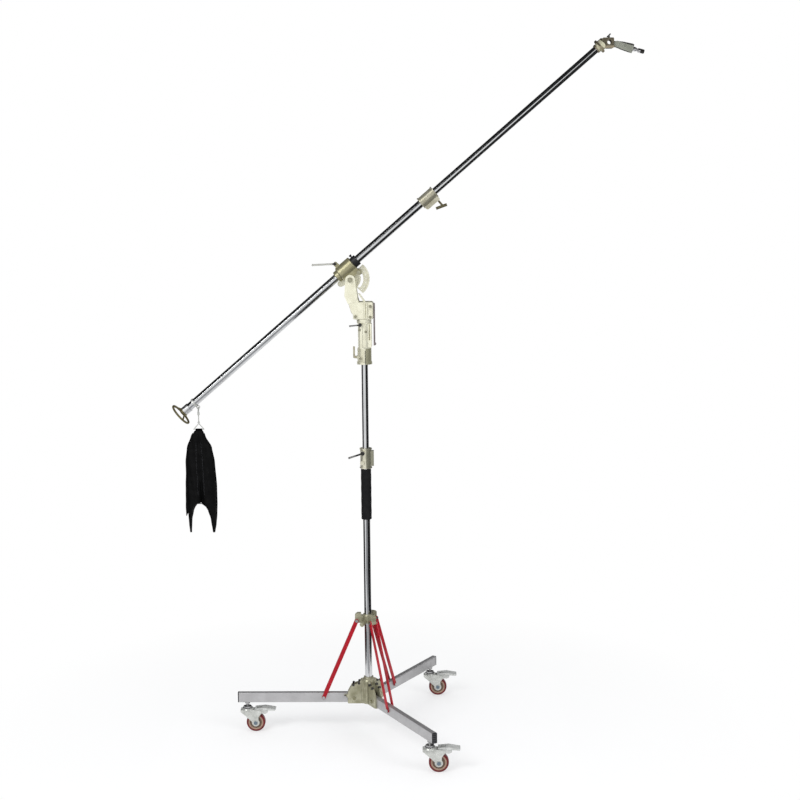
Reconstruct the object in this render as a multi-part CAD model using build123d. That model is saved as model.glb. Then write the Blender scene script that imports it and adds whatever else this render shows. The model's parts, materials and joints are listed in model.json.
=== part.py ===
"""Wheeled boom stand with an overhead telescopic arm.

Millimetres, +Z up. The origin is the point on the floor under the mast axis.
+X is the way the high end of the boom points, and the boom lies in the XZ plane.
Three legs fold up against the mast, a collar on the mast carries their braces,
and the head on top of the riser holds a tilting clamp in which the boom slides and turns.
"""

import os
from math import atan2, cos, degrees, radians, sin, sqrt

from build123d import *

# Fits, all radial or face to face
RUN_FIT = 0.10           # sliding tubes and turning sleeves
PIN_FIT = 0.05           # hinge pins in their holes
FACE_GAP = 0.30          # faces that move past each other

# Casters
WHEEL_R = 37.5
WHEEL_WIDTH = 24.0
CORE_R = 30.0
AXLE_R = 4.0
CORE_BOSS = 2.0          # wheel hub beyond the tread
CASTER_TRAIL = 33.0
FORK_PLATE = 2.5
FORK_TOP_Z = 2 * WHEEL_R + 15.0
FORK_INSIDE = WHEEL_WIDTH / 2 + CORE_BOSS + 1.0  # half of the room between the fork plates
STEM_R = 5.0
PEDAL_PIVOT = (44.0, FORK_TOP_Z - 8.0)
PEDAL_REACH = 111.0
PEDAL_WIDTH = 40.0
FORK_END_R = 15.0        # round end of the fork about its axle

# Legs
LEG_AZIMUTHS = (180.0, -60.0, 60.0)
LEG_HEIGHT = 40.0
LEG_WIDTH = 20.0
LEG_WALL = 2.0
LEG_BOTTOM_Z = FORK_TOP_Z + 30.0
LEG_CAP = 4.0
STEM_RADIUS = 487.0      # mast axis to caster stem
LEG_TIP_R = STEM_RADIUS + 37.0  # outer face of the end plug
LEG_PIVOT_R = 58.0
LEG_TAIL = 16.0          # leg behind its pivot
LEG_PIVOT_Z = LEG_BOTTOM_Z + LEG_HEIGHT / 2
LEG_BOLT_R = 4.0
PLUNGER = (93.0, LEG_PIVOT_Z + 9.0)  # spring plunger that locks a leg
PLUNGER_R = 3.0

# Hub
HUB_R = 28.0
HUB_BOTTOM_Z = LEG_BOTTOM_Z - 3.0
HUB_TOP_Z = HUB_BOTTOM_Z + 108.0
CHEEK_REACH = 84.0
CHEEK_THICK = 7.0
CHEEK_IN = LEG_WIDTH / 2 + 0.4
LIP = 8.0                # stop under the leg
BRACKET_SCREWS = ((61.0, HUB_BOTTOM_Z + 77.0), (38.0, HUB_BOTTOM_Z + 84.0))
SCREW_FLATS = 9.0

# Mast and riser
MAST_R = 14.3
MAST_WALL = 1.5
RISER_WALL = 1.5
RISER_R = MAST_R - MAST_WALL - RUN_FIT
MAST_TOP_Z = 1132.0
COLLAR_BOTTOM_Z = MAST_TOP_Z - 62.5
COLLAR_TOP_Z = MAST_TOP_Z + 17.0
COLLAR_BODY_R = MAST_R + 7.7
COLLAR_FLANGE_R = COLLAR_BODY_R + 2.4
FLANGE = 4.5
RISER_BOTTOM_Z = 480.0
GRIP_R = MAST_R + 6.2
GRIP_Z = (COLLAR_BOTTOM_Z - 203.5, COLLAR_BOTTOM_Z - 3.5)
MAST_LEVER_AXIS = (-11.0, MAST_TOP_Z + 1.0)
MAST_LEVER_TIP = (-62.6, MAST_TOP_Z - 16.0)

# Braces and their sliding collar
BRACE_COLLAR_R = MAST_R + 7.7
EAR_R = 44.0             # mast axis to the upper brace pivot
EAR_Z = 456.0
BRACE_COLLAR_Z = (EAR_Z - 9.0, EAR_Z + 30.0)
EAR_WIDTH = LEG_WIDTH
THUMB_AZIMUTH = -120.0   # thumb screw of the collar, between two ears
BRACE_FOOT_R = 180.0     # mast axis to the lower brace pivot
BRACE_WIDTH = 15.0
BRACE_THICK = 4.0
RIVET_R = 4.0

# Head on the riser, in its own frame: z up from the foot of the socket
HEAD_Z = 1479.0          # foot of the head above the floor
SOCKET_TOP = 62.0
SOCKET_R = 27.0
SOCKET_FOOT_R = 29.5
SOCKET_FLOOR = 56.0      # top of the riser inside the socket
SOCKET_HANDLE = (-6.0, 28.0)
SOCKET_BOLT = (-14.4, 24.0)
COLUMN_TOP = 163.0
COLUMN_R = 24.0
SWIVEL_TOP = 174.0
SWIVEL_R = 28.5
COLUMN_BOLTS = ((-17.6, 134.0, -22.0, 9.0), (7.8, 127.0, -21.0, 9.0))
PAN_LEVER = (-14.0, 154.0)
SPINDLE_R = 10.0
SPINDLE_TOP = 213.0
ARM_BOTTOM = SWIVEL_TOP + FACE_GAP
ARM_HALF = 28.0
ARM_BOLTS = ((25.6, 225.0), (25.0, 184.0), (-31.0, 186.0))
PIVOT = (-50.0, 327.0)
PIVOT_BOLT_R = 6.0
PIVOT_EYE_R = 18.5
FORK_IN = 22.0           # half of the room in the arm's fork
FORK_OUT = FORK_IN + 8.0

# Tilt plate
PLATE_R = 72.0
PLATE_THICK = 6.0
PLATE_RIM = 2.0          # raised edge on the plate's front
PLATE_EDGE = 8.5         # metal beside the slot's ends
SLOT_R = 43.0
SLOT_WIDTH = 10.0
SLOT_HALF_ANGLE = 43.5
LOCK_BOLT_R = 4.5

# Boom, in its own frame: u along the boom from above the pivot, v square to it
BOOM_ANGLE = 40.6
BOOM_R = 15.0
BOOM_WALL = 1.65
INNER_WALL = 1.65
INNER_R = BOOM_R - BOOM_WALL - RUN_FIT
CLAMP_U = (-35.0, -20.0, 47.6)
CLAMP_R = BOOM_R + 15.0
CLAMP_NECK_R = BOOM_R + 8.0
BOOM_OFFSET = CLAMP_R + 10.3    # pivot to boom axis
TONGUE_HALF = FORK_IN - FACE_GAP
CLAMP_LEVER = (-5.6, 43.5)
BOOM_TAIL_U = -812.0
BOOM_COLLAR_U = (392.0, 462.0)
BOOM_HEAD_U = BOOM_COLLAR_U[1] - 7.0
INNER_U = (10.0, 1283.0)
STOP_RING = (21.5, 22.0)
HANGER_U = BOOM_TAIL_U + 36.2
EYE_V = -(BOOM_R + 8.0)
EYE_R = 6.0
EYE_WIRE_R = 1.6
HANDWHEEL_U = BOOM_TAIL_U - 35.0
HANDWHEEL_R = 43.5
HANDWHEEL_RIM_R = 4.0

# End fitting, in a level frame at the end of the inner tube
KNUCKLE_PIVOT = (60.1, 4.5)
KNUCKLE_DROP = 16.0
RECEIVER_HOLE = (31.1, 10.5)
RECEIVER_TOP = 27.5
RECEIVER_R = 8.1
RECEIVER_HALF = 19.0
SPIGOT_R = 8.0

# Hanging bag, in a plumb frame at the hanger's eye
BAG_TOP = -90.3

FOOT = (Align.CENTER, Align.CENTER, Align.MIN)


# Shared shapes

def rod(start, end, radius):
    """Round bar between two points."""
    start, end = Vector(start), Vector(end)
    axis = end - start
    return Plane(start, z_dir=axis) * Cylinder(radius, axis.length, align=FOOT)


def hex_bar(start, end, flats):
    """Hexagon bar between two points, as on a bolt head or a nut."""
    start, end = Vector(start), Vector(end)
    axis = end - start
    face = Plane(start, z_dir=axis) * RegularPolygon(flats / 2, 6, major_radius=False)
    return extrude(face, axis.length, dir=axis.normalized())


def side_plane(x, y, z):
    """Plane facing the front, with its own x along X and its own y along Z."""
    return Plane((x, y, z), x_dir=(1, 0, 0), z_dir=(0, -1, 0))


def slab(points, y_from, y_to, radii=0.0):
    """Outline in the XZ plane, thick from one y to the other."""
    outline = make_face(FilletPolyline(*points, radius=radii, close=True))
    return extrude(side_plane(0, y_from, 0) * outline, y_to - y_from, dir=(0, 1, 0))


def pin_y(x, z, y_from, y_to, radius):
    """Round bar along Y."""
    return rod((x, y_from, z), (x, y_to, z), radius)


def turned(points):
    """Outline of (radius, z) points turned about the Z axis."""
    return revolve(Plane.XZ * make_face(Polyline(*points, close=True)), Axis.Z)


def turned_along(points):
    """Outline of (u, radius) points turned about the X axis."""
    return revolve(Plane.XZ * make_face(Polyline(*points, close=True)), Axis.X)


def soften(shape, radius):
    """Rounds the outline edges of a slab's front and back faces."""
    faces = shape.faces().sort_by(Axis.Y)
    return fillet(faces[0].edges() + faces[-1].edges(), radius)


def both_sides(shape):
    """The shape and its mirror image across the XZ plane."""
    return shape + mirror(shape, Plane.XZ)


def leg_frame(azimuth):
    """Local x runs out along the leg, local y across it."""
    return Rot(0, 0, azimuth)


def caster_frame(azimuth):
    """Local z is the caster's stem, and every caster trails along +X."""
    turn = radians(azimuth)
    return Pos(STEM_RADIUS * cos(turn), STEM_RADIUS * sin(turn), 0)


BOOM_ORIGIN = (
    PIVOT[0] - BOOM_OFFSET * sin(radians(BOOM_ANGLE)),
    0.0,
    HEAD_Z + PIVOT[1] + BOOM_OFFSET * cos(radians(BOOM_ANGLE)),
)


def boom_frame_at(u, v):
    """Level frame at a point of the boom's own frame."""
    tilt = radians(BOOM_ANGLE)
    return Pos(
        BOOM_ORIGIN[0] + u * cos(tilt) - v * sin(tilt),
        0,
        BOOM_ORIGIN[2] + u * sin(tilt) + v * cos(tilt),
    )


HEAD_FRAME = Pos(0, 0, HEAD_Z)
BOOM_FRAME = Pos(*BOOM_ORIGIN) * Rot(0, -BOOM_ANGLE, 0)
HANG_FRAME = boom_frame_at(HANGER_U, EYE_V)
END_FRAME = boom_frame_at(INNER_U[1], 0)
KNUCKLE_FRAME = END_FRAME * Pos(KNUCKLE_PIVOT[0], 0, KNUCKLE_PIVOT[1]) * Rot(0, KNUCKLE_DROP, 0)


# Rolling base

def base_hub():
    """Casting with three forked brackets round the foot of the mast."""
    low, high = HUB_BOTTOM_Z, HUB_TOP_Z
    hub = turned([
        (0, low), (HUB_R - 2, low), (HUB_R, low + 2), (HUB_R, high - 14), (HUB_R - 3, high - 9),
        (HUB_R - 8, high - 7), (HUB_R - 9, high), (0, high),
    ])
    outside = CHEEK_IN + CHEEK_THICK
    outline = [
        (15, low), (CHEEK_REACH, low), (CHEEK_REACH, low + 46),
        (66, low + 77), (40, low + 83), (30, high - 12), (15, high - 12),
    ]
    cheek = slab(outline, CHEEK_IN, outside, [0, 3, 14, 14, 10, 6, 0])
    cheek = fillet(cheek.faces().sort_by(Axis.Y)[-1].edges().filter_by(lambda e: e.center().X > 22), 2.5)
    cheek += pin_y(LEG_PIVOT_R, LEG_PIVOT_Z, CHEEK_IN, outside + 1.5, 11)
    cheek -= Pos(HUB_R + 1, outside, low - 1) * Box(4, 7, 120, align=FOOT)
    for x, z in BRACKET_SCREWS:
        cheek -= pin_y(x, z, 0, 40, SCREW_FLATS * 0.6)
    lip_height = LEG_BOTTOM_Z - FACE_GAP - low
    lip = Pos(CHEEK_REACH - LIP / 2, 0, low) * Box(LIP, 2 * CHEEK_IN + 1, lip_height, align=FOOT)
    bridge = Pos(34, 0, low + 50) * Box(14, 2 * CHEEK_IN + 1, 30, align=FOOT)
    x, z = PLUNGER
    start = CHEEK_REACH - 3
    ear = slab([(start, z - 6), (x, z - 6), (x, z + 6), (start, z + 6)], CHEEK_IN, outside)
    ear += pin_y(x, z, CHEEK_IN, outside, 6)
    bolt_hole = pin_y(LEG_PIVOT_R, LEG_PIVOT_Z, -40, 40, LEG_BOLT_R)
    bracket = both_sides(cheek) + lip + bridge + ear - bolt_hole - pin_y(x, z, 0, 40, PLUNGER_R)
    for azimuth in LEG_AZIMUTHS:
        hub += leg_frame(azimuth) * bracket
        for turn in (42, 60, 78):
            rib = rod((HUB_R - 0.5, 0, low + 6), (HUB_R - 0.5, 0, high - 17), 2.5)
            hub += leg_frame(azimuth + turn) * rib
    return hub - Pos(0, 0, low - 1) * Cylinder(MAST_R, 200, align=FOOT)


def bolt_across(x, z, half, shank_r, head=5.0, flats=13.0):
    """Bolt along Y with a hexagon head in front and a nut behind."""
    return (
        pin_y(x, z, -half, half, shank_r)
        + hex_bar((x, -half - head, z), (x, -half, z), flats)
        + hex_bar((x, half, z), (x, half + head, z), flats)
    )


def base_bolts():
    """Leg pivot bolts, the screws on top of each bracket, and the ball-headed leg plungers."""
    outside = CHEEK_IN + CHEEK_THICK
    x, z = PLUNGER
    group = []
    for azimuth in LEG_AZIMUTHS:
        frame = leg_frame(azimuth)
        group.append(frame * bolt_across(LEG_PIVOT_R, LEG_PIVOT_Z, outside + 1.5, LEG_BOLT_R))
        plunger = pin_y(x, z, CHEEK_IN + FACE_GAP, outside + 5, PLUNGER_R)
        plunger += Pos(x, outside + 6, z) * Sphere(5.5)
        group.append(frame * plunger)
        for screw_x, screw_z in BRACKET_SCREWS:
            for side in (-1, 1):
                start = (screw_x, side * (CHEEK_IN + 0.6), screw_z)
                end = (screw_x, side * (outside + 3), screw_z)
                group.append(frame * hex_bar(start, end, SCREW_FLATS))
    return group


def mast_tube():
    """Lower tube, from the hub into its collar."""
    height = MAST_TOP_Z - HUB_BOTTOM_Z
    wall = Cylinder(MAST_R, height, align=FOOT) - Cylinder(MAST_R - MAST_WALL, height, align=FOOT)
    return Pos(0, 0, HUB_BOTTOM_Z) * wall


def foam_grip():
    """Foam sleeve with rounded ends."""
    low, high = GRIP_Z
    sleeve = turned([(MAST_R, low), (GRIP_R, low), (GRIP_R, high), (MAST_R, high)])
    rims = sleeve.edges().filter_by(GeomType.CIRCLE).filter_by(lambda e: e.radius > MAST_R + 1)
    return fillet(rims, 4.0)


def mast_collar():
    """Flanged casting that carries the riser's running bore and its lock."""
    low, high = COLLAR_BOTTOM_Z, COLLAR_TOP_Z
    body = turned([
        (MAST_R, low), (COLLAR_FLANGE_R - 1, low), (COLLAR_FLANGE_R, low + 1),
        (COLLAR_FLANGE_R, low + FLANGE), (COLLAR_BODY_R, low + FLANGE + 1),
        (COLLAR_BODY_R, high - FLANGE - 1), (COLLAR_FLANGE_R, high - FLANGE),
        (COLLAR_FLANGE_R, high - 1), (COLLAR_FLANGE_R - 1, high),
        (RISER_R + RUN_FIT, high), (RISER_R + RUN_FIT, MAST_TOP_Z), (MAST_R, MAST_TOP_Z),
    ])
    x, z = MAST_LEVER_AXIS
    inside = Cylinder(MAST_R, 2000, align=FOOT)
    body += pin_y(x, z, -30, -14, 9) - inside
    body -= pin_y(x, z, -31, -21, 3.0 + PIN_FIT)
    body += pin_y(-13.7, MAST_TOP_Z - 39, -27, -14, 8) - inside
    lug = Box(16, 20, 60, align=(Align.MIN, Align.CENTER, Align.CENTER))
    body += Pos(15, 0, (low + high) / 2) * lug - inside
    split = Box(20, 2.4, 60, align=(Align.MIN, Align.CENTER, Align.CENTER))
    return body - Pos(MAST_R + 0.4, 0, (low + high) / 2) * split


def lever(x, z, tip_x, tip_z, y_from, y_to, hub_r, arm_r):
    """Flat-hubbed lever that turns about Y, with a round arm and a ball end."""
    middle = (y_from + y_to) / 2
    return (
        pin_y(x, z, y_from, y_to, hub_r)
        + rod((x, middle, z), (tip_x, middle, tip_z), arm_r)
        + Pos(tip_x, middle, tip_z) * Sphere(arm_r + 0.8)
    )


def mast_lock_handle():
    """Lever that locks the riser."""
    x, z = MAST_LEVER_AXIS
    handle = lever(x, z, *MAST_LEVER_TIP, -30 - FACE_GAP - 9, -30 - FACE_GAP, 8.0, 3.6)
    return handle + pin_y(x, z, -32, -22, 3.0)


# Legs

def leg_tube():
    """Rectangular tube, drilled for its pivot bolt, plunger and caster stem."""
    start = LEG_PIVOT_R - LEG_TAIL
    length = LEG_TIP_R - LEG_CAP - start
    middle = start + length / 2
    tube = Pos(middle, 0, LEG_PIVOT_Z) * Box(length, LEG_WIDTH, LEG_HEIGHT)
    tube = fillet(tube.edges().filter_by(Axis.X), 2.5)
    room = Pos(middle, 0, LEG_PIVOT_Z) * Box(
        length, LEG_WIDTH - 2 * LEG_WALL, LEG_HEIGHT - 2 * LEG_WALL)
    tube -= room
    tube -= pin_y(LEG_PIVOT_R, LEG_PIVOT_Z, -20, 20, LEG_BOLT_R + PIN_FIT)
    tube -= pin_y(*PLUNGER, 0, 20, PLUNGER_R + PIN_FIT)
    return tube - rod((STEM_RADIUS, 0, LEG_BOTTOM_Z - 1), (STEM_RADIUS, 0, LEG_BOTTOM_Z + 5), STEM_R)


def leg_cap():
    """Ribbed end plug."""
    plug_height = LEG_HEIGHT - 2 * LEG_WALL - 0.4
    plug_width = LEG_WIDTH - 2 * LEG_WALL - 0.4
    face = Pos(LEG_TIP_R - LEG_CAP / 2, 0, LEG_PIVOT_Z) * Box(LEG_CAP, LEG_WIDTH, LEG_HEIGHT)
    face = fillet(face.edges().filter_by(Axis.X), 2.5)
    plug = Pos(LEG_TIP_R - LEG_CAP - 8, 0, LEG_PIVOT_Z) * Box(16, plug_width, plug_height)
    return face + plug


def leg_hardware():
    """Caster stem with its nuts and washer."""
    top = LEG_BOTTOM_Z + 12
    stem = rod((STEM_RADIUS, 0, FORK_TOP_Z - 6), (STEM_RADIUS, 0, top), STEM_R)
    stem += hex_bar((STEM_RADIUS, 0, LEG_BOTTOM_Z - 7), (STEM_RADIUS, 0, LEG_BOTTOM_Z), 17)
    stem += hex_bar((STEM_RADIUS, 0, LEG_BOTTOM_Z + LEG_WALL), (STEM_RADIUS, 0, top - 3), 15)
    return stem + rod((STEM_RADIUS, 0, FORK_TOP_Z + 7), (STEM_RADIUS, 0, FORK_TOP_Z + 13), 16.0)


# Casters, drawn about their stem on the floor

def caster_fork():
    """Pressed fork with its ball race, and the axle bolt as a second solid."""
    x, z = CASTER_TRAIL, WHEEL_R
    outline = [
        (-27, FORK_TOP_Z), (34, FORK_TOP_Z), (56, FORK_TOP_Z - 4), (56, FORK_TOP_Z - 14),
        (44, FORK_TOP_Z - 30), (x + 11, z), (x, z - 11), (x - 11, z), (-8, FORK_TOP_Z - 24),
        (-27, FORK_TOP_Z - 8),
    ]
    plate = slab(outline, FORK_INSIDE, FORK_INSIDE + FORK_PLATE, [2, 6, 3, 3, 8, 8, 8, 8, 10, 2])
    plate += pin_y(x, z, FORK_INSIDE, FORK_INSIDE + FORK_PLATE, FORK_END_R)
    fork = both_sides(plate)
    fork += Pos(2, 0, FORK_TOP_Z - 3) * Box(58, 2 * (FORK_INSIDE + FORK_PLATE), 3, align=FOOT)
    fork += turned([
        (0, FORK_TOP_Z - 4), (22, FORK_TOP_Z - 4), (24, FORK_TOP_Z - 2), (24, FORK_TOP_Z),
        (21, FORK_TOP_Z + 5), (0, FORK_TOP_Z + 5),
    ])
    fork -= rod((0, 0, FORK_TOP_Z - 10), (0, 0, FORK_TOP_Z + 10), STEM_R + RUN_FIT)
    fork -= pin_y(x, z, -30, 30, AXLE_R)
    half = FORK_INSIDE + FORK_PLATE
    pivot_x, pivot_z = PEDAL_PIVOT
    fork -= pin_y(pivot_x, pivot_z, -30, 30, 2.5 + PIN_FIT)
    return [fork, bolt_across(x, z, half, AXLE_R, head=4.5, flats=15.0)]


def caster_tyre():
    """Polyurethane tread with rounded shoulders."""
    half = WHEEL_WIDTH / 2
    ring = Rot(90, 0, 0) * (Cylinder(WHEEL_R, WHEEL_WIDTH) - Cylinder(CORE_R, WHEEL_WIDTH))
    rims = ring.edges().filter_by(GeomType.CIRCLE).filter_by(lambda e: e.radius > CORE_R + 1)
    return Pos(CASTER_TRAIL, 0, WHEEL_R) * fillet(rims, half / 3)


def caster_core():
    """Wheel centre with a raised hub and rim on each side."""
    half = WHEEL_WIDTH / 2
    profile = [
        (AXLE_R + PIN_FIT, half + CORE_BOSS), (9, half + CORE_BOSS), (11, half - 3), (22, half - 4),
        (24, half - 1), (CORE_R, half - 1),
    ]
    mirrored = [(r, -h) for r, h in reversed(profile)]
    core = Rot(90, 0, 0) * turned(profile + mirrored)
    return Pos(CASTER_TRAIL, 0, WHEEL_R) * core


def brake_pedal():
    """Pressed brake lever with turned-down edges, hinged in the fork behind the stem."""
    x, z = PEDAL_PIVOT
    low = FORK_TOP_Z
    half = PEDAL_WIDTH / 2
    top = [
        (30, low + 6), (70, low + 10), (PEDAL_REACH, low + 3), (PEDAL_REACH, low + 0.5),
        (70, low + 7.5), (30, low + 3.5),
    ]
    pedal = slab(top, -half, half, 0.8)
    edge = slab([
        (62, low + 8), (70, low + 9), (PEDAL_REACH, low + 2), (PEDAL_REACH, low - 3),
        (80, low), (64, low + 1),
    ], half - 1.8, half, 0.8)
    pedal += both_sides(edge) + pin_y(PEDAL_REACH, low + 1, -half, half, 2.4)
    for ridge_x in (80, 86, 92, 98, 104):
        ridge_z = low + 9.6 - (ridge_x - 70) * 7 / (PEDAL_REACH - 70)
        pedal += pin_y(ridge_x, ridge_z, -half + 5, half - 5, 1.2)
    web_out = FORK_INSIDE - FACE_GAP
    web = slab([
        (34, low + 4), (72, low + 8), (83, low + 6), (82, low - 12), (70, low - 17),
        (x + 8, z - 6), (x - 7, z - 4),
    ], web_out - 2.5, web_out, [1, 1, 4, 6, 4, 4, 4])
    window = Pos(49, 0, low + 4) * Box(20, 18, 14)
    pin = pin_y(x, z, -FORK_INSIDE - FORK_PLATE, FORK_INSIDE + FORK_PLATE, 2.5)
    return pedal + both_sides(web) - window + pin


# Braces

def brace_collar():
    """Collar that slides on the mast, with three wide flat-topped ears and a thumb screw."""
    low, high = BRACE_COLLAR_Z
    body = turned([
        (0, low), (BRACE_COLLAR_R - 1, low), (BRACE_COLLAR_R, low + 1), (BRACE_COLLAR_R, high - 9),
        (BRACE_COLLAR_R - 3, high - 4), (0, high - 4),
    ])
    half = EAR_WIDTH / 2
    outline = [
        (10, low), (EAR_R + 7, low), (EAR_R + 7, high - 6), (EAR_R - 2, high + 1),
        (BRACE_COLLAR_R + 6, high + 1), (BRACE_COLLAR_R + 3, high - 9), (10, high - 9),
    ]
    ear = soften(slab(outline, -half, half, [0, 6, 4, 5, 2, 2, 0]), 1.0)
    ear += pin_y(EAR_R, EAR_Z, -half, half, 9.0)
    ear -= pin_y(EAR_R, EAR_Z, -half - 1, half + 1, RIVET_R + PIN_FIT)
    for azimuth in LEG_AZIMUTHS:
        body += leg_frame(azimuth) * ear
    screw_z = low + 9
    boss = rod((15, 0, screw_z), (30, 0, screw_z - 4), 8.0)
    screw = rod((28, 0, screw_z - 3.5), (38, 0, screw_z - 6), 3.5)
    knob = rod((37, 0, screw_z - 5.8), (47, 0, screw_z - 8.5), 9.0)
    body += leg_frame(THUMB_AZIMUTH) * (boss + screw + knob)
    return body - Pos(0, 0, low - 20) * Cylinder(MAST_R + RUN_FIT, 90, align=FOOT)


def brace_straps():
    """Two flat straps, one on each side of a leg."""
    run_x, run_z = BRACE_FOOT_R - EAR_R, LEG_PIVOT_Z - EAR_Z
    length = sqrt(run_x ** 2 + run_z ** 2)
    inside = LEG_WIDTH / 2 + FACE_GAP
    face = side_plane(EAR_R, inside, EAR_Z) * Rot(0, 0, degrees(atan2(run_z, run_x))) * (
        Pos(length / 2, 0) * SlotCenterToCenter(length, BRACE_WIDTH))
    strap = extrude(face, BRACE_THICK, dir=(0, 1, 0))
    strap -= pin_y(EAR_R, EAR_Z, 0, 30, RIVET_R) + pin_y(BRACE_FOOT_R, LEG_PIVOT_Z, 0, 30, RIVET_R)
    return [strap, mirror(strap, Plane.XZ)]


def brace_rivets():
    """Upper pivot through the collar's ear, and two short studs at the foot."""
    inside = LEG_WIDTH / 2 + FACE_GAP
    outside = inside + BRACE_THICK
    upper = pin_y(EAR_R, EAR_Z, -outside, outside, RIVET_R)
    for side in (-1, 1):
        upper += pin_y(EAR_R, EAR_Z, side * outside, side * (outside + 3), 6.0)
    lower = pin_y(BRACE_FOOT_R, LEG_PIVOT_Z, inside, outside, RIVET_R)
    lower += pin_y(BRACE_FOOT_R, LEG_PIVOT_Z, outside, outside + 3, 6.0)
    return [upper, lower, mirror(lower, Plane.XZ)]


# Riser and head

def riser_tube():
    """Upper tube of the mast."""
    height = HEAD_Z + SOCKET_FLOOR - RISER_BOTTOM_Z
    wall = Cylinder(RISER_R, height, align=FOOT) - Cylinder(RISER_R - RISER_WALL, height, align=FOOT)
    return Pos(0, 0, RISER_BOTTOM_Z) * wall


def head_socket():
    """Split clamp that turns on the top of the riser."""
    low, high = 0.0, SOCKET_TOP
    bore = RISER_R + RUN_FIT
    body = turned([
        (bore, low), (SOCKET_FOOT_R, low), (SOCKET_FOOT_R, low + 9), (SOCKET_R, low + 12),
        (SOCKET_R, high), (0, high), (0, SOCKET_FLOOR + FACE_GAP), (bore, SOCKET_FLOOR + FACE_GAP),
    ])
    slot = Pos(3.8, -20, low + 26) * Box(2.4, 22, 56)
    body += pin_y(*SOCKET_BOLT, -30, -20, 8) - Cylinder(bore, high, align=FOOT)
    handle_y, handle_z = SOCKET_HANDLE
    body += rod((-SOCKET_R - 2, handle_y, handle_z), (-20, handle_y, handle_z), 7.0)
    body -= rod((-40, handle_y, handle_z), (-19, handle_y, handle_z), 3.5 + PIN_FIT)
    return body - slot


def socket_handle():
    """L-shaped lever on the left of the socket."""
    y, z = SOCKET_HANDLE
    x, tip_z = -40.0, SOCKET_TOP + 4
    bar = rod((x, y, z - 3), (x, y, tip_z), 3.5) + Pos(x, y, tip_z) * Sphere(4.0)
    return bar + rod((x, y, z), (-20, y, z), 3.5) + rod((x, y, z), (-SOCKET_R - 2 - FACE_GAP, y, z), 5.0)


def head_column():
    """Column with a side pillar, a slotted block, the swivel ring and its spindle."""
    low, high = SOCKET_TOP, COLUMN_TOP
    body = turned([
        (0, low), (SOCKET_R, low), (COLUMN_R, low + 5), (COLUMN_R, high - 8),
        (SWIVEL_R, high - 2), (SWIVEL_R, SWIVEL_TOP), (SPINDLE_R, SWIVEL_TOP),
        (SPINDLE_R, SPINDLE_TOP), (0, SPINDLE_TOP),
    ])
    pillar = Pos(-10, -15, low) * Cylinder(10.5, high - low - 9, align=FOOT)
    block = slab([(4, low + 4), (29, low + 4), (29, high - 6), (4, high - 6)], -19, 15, 2.0)
    boss = pin_y(*PAN_LEVER, -28 + FACE_GAP, -10, 6.5)
    body += pillar + block + boss - Pos(21, -18, high - 39) * Box(5, 14, 62)
    for x, z, seat_y, _ in COLUMN_BOLTS:
        body -= pin_y(x, z, -40, seat_y, 6.0)
    return body - pin_y(*PAN_LEVER, -40, -18, 2.5 + PIN_FIT)


def column_bolts():
    """Bolt heads on the front of the column and the socket."""
    group = [hex_bar((x, seat_y - 6, z), (x, seat_y, z), flats) for x, z, seat_y, flats in COLUMN_BOLTS]
    x, z = SOCKET_BOLT
    group.append(hex_bar((x, -35, z), (x, -30, z), 11))
    return group


def pan_lock_handle():
    """Lever that locks the swivel."""
    handle = lever(*PAN_LEVER, -52.5, PAN_LEVER[1] - 4, -35.5, -28, 7.0, 3.0)
    return handle + pin_y(*PAN_LEVER, -30, -19, 2.5)


def head_arm():
    """Cast arm: a foot on the swivel, a neck that leans left, and a fork round the tilt pivot."""
    x, z = PIVOT
    low = ARM_BOTTOM
    foot = soften(slab(
        [(-41, low + 3), (-34, low), (31, low), (36, low + 4), (36, 237), (31, 242), (-41, 242)],
        -ARM_HALF, ARM_HALF, [3, 3, 3, 3, 4, 4, 3]), 3.0)
    neck = soften(slab(
        [(-41, 193), (-20, 193), (-18, 243), (-24, 265), (-74, 265), (-57, 232), (-48, 201)],
        -ARM_HALF, ARM_HALF, [2, 2, 3, 3, 3, 10, 10]), 3.0)
    cheek_outline = [
        (-73, 265), (x - PIVOT_EYE_R, z), (x + PIVOT_EYE_R, z), (-28, 296), (-23, 263), (-30, 243),
        (-60, 235),
    ]
    cheek = slab(cheek_outline, FORK_IN, FORK_OUT) + pin_y(x, z, FORK_IN, FORK_OUT, PIVOT_EYE_R)
    front = mirror(cheek + pin_y(x, z, FORK_OUT - 1, FORK_OUT + 2, 12.0), Plane.XZ)
    strut = slab([(-22, 273), (-15, 273), (7, 241), (-1, 241)], -6, 6)
    arm = foot + neck + front + cheek + strut
    for rib_x in (4, 12):
        arm += rod((rib_x, -ARM_HALF, low + 5), (rib_x, -ARM_HALF, 237), 4.0)
    for bolt_x, bolt_z in ARM_BOLTS:
        arm += pin_y(bolt_x, bolt_z, -ARM_HALF - 1.5, -ARM_HALF + 2, 8.0)
    arm -= pin_y(x, z, -50, 50, PIVOT_BOLT_R)
    arm -= Pos(23, -ARM_HALF, 204) * Box(13, 6, 22)
    return arm - rod((0, 0, low - 1), (0, 0, SPINDLE_TOP + FACE_GAP), SPINDLE_R + PIN_FIT)


def arm_bolts():
    """Tilt pivot bolt and the bolts of the arm's cap."""
    x, z = PIVOT
    back = FORK_OUT + PLATE_THICK
    pivot = pin_y(x, z, -FORK_OUT - 2, back, PIVOT_BOLT_R)
    pivot += hex_bar((x, -FORK_OUT - 8, z), (x, -FORK_OUT - 2, z), 18)
    pivot += hex_bar((x, back, z), (x, back + 7, z), 19)
    group = [pivot]
    for bolt_x, bolt_z in ARM_BOLTS:
        group.append(hex_bar((bolt_x, -ARM_HALF - 6, bolt_z), (bolt_x, -ARM_HALF - 1.5, bolt_z), 11))
    return group


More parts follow.
